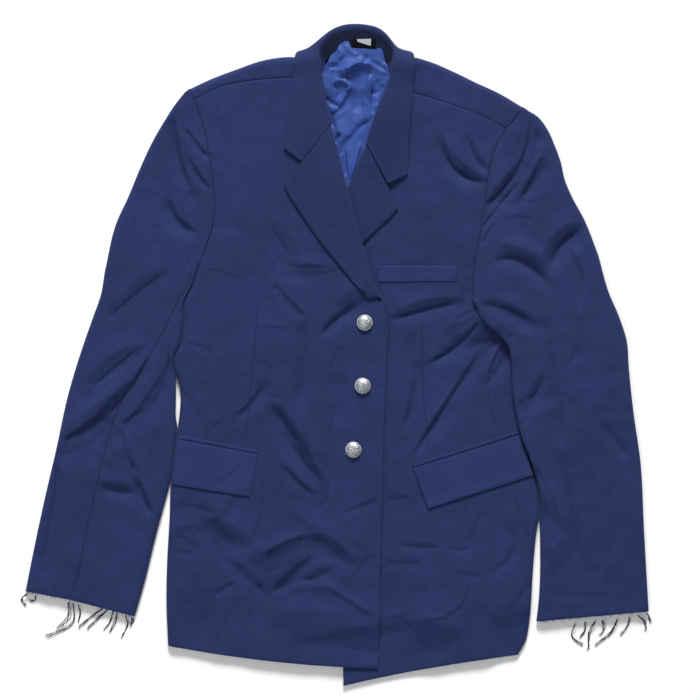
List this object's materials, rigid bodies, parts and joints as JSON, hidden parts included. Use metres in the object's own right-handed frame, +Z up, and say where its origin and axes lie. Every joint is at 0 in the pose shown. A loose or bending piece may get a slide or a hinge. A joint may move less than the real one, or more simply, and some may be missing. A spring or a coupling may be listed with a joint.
{
  "type": "military dress tunic",
  "caption": "Single-breasted dress coat laid flat on its back: notched collar and lapels, lower flap pockets, breast welt, domed buttons and sleeves cut off above the cuff.",
  "frame": {"origin": "centre of the laid coat's box, on the table", "axes": "+X to the wearer's left, +Y from the hem to the collar, +Z up from the table"},
  "size_m": [0.751, 0.7893, 0.0188],
  "materials": {
    "shell_cloth": "matt wool barathea",
    "facing_cloth": "matt wool barathea",
    "loose_threads": "matt wool yarn",
    "lining_satin": "satin",
    "button_metal": "antique silver",
    "label_cloth": "woven satin"
  },
  "bodies": {
    "root": {"back": "shell_cloth", "back_lining": "lining_satin", "breast_welt": "shell_cloth", "button_1": "button_metal", "button_2": "button_metal", "button_3": "button_metal", "collar": "facing_cloth", "left_cuff_fringe": "loose_threads", "left_front": "shell_cloth", "left_lapel": "facing_cloth", "left_pocket_flap": "shell_cloth", "left_pocket_jet": "shell_cloth", "left_top_sleeve": "shell_cloth", "left_under_sleeve": "shell_cloth", "neck_label": "label_cloth", "right_cuff_fringe": "loose_threads", "right_front": "shell_cloth", "right_lapel": "facing_cloth", "right_pocket_flap": "shell_cloth", "right_pocket_jet": "shell_cloth", "right_top_sleeve": "shell_cloth", "right_under_sleeve": "shell_cloth"}
  },
  "joints": []
}
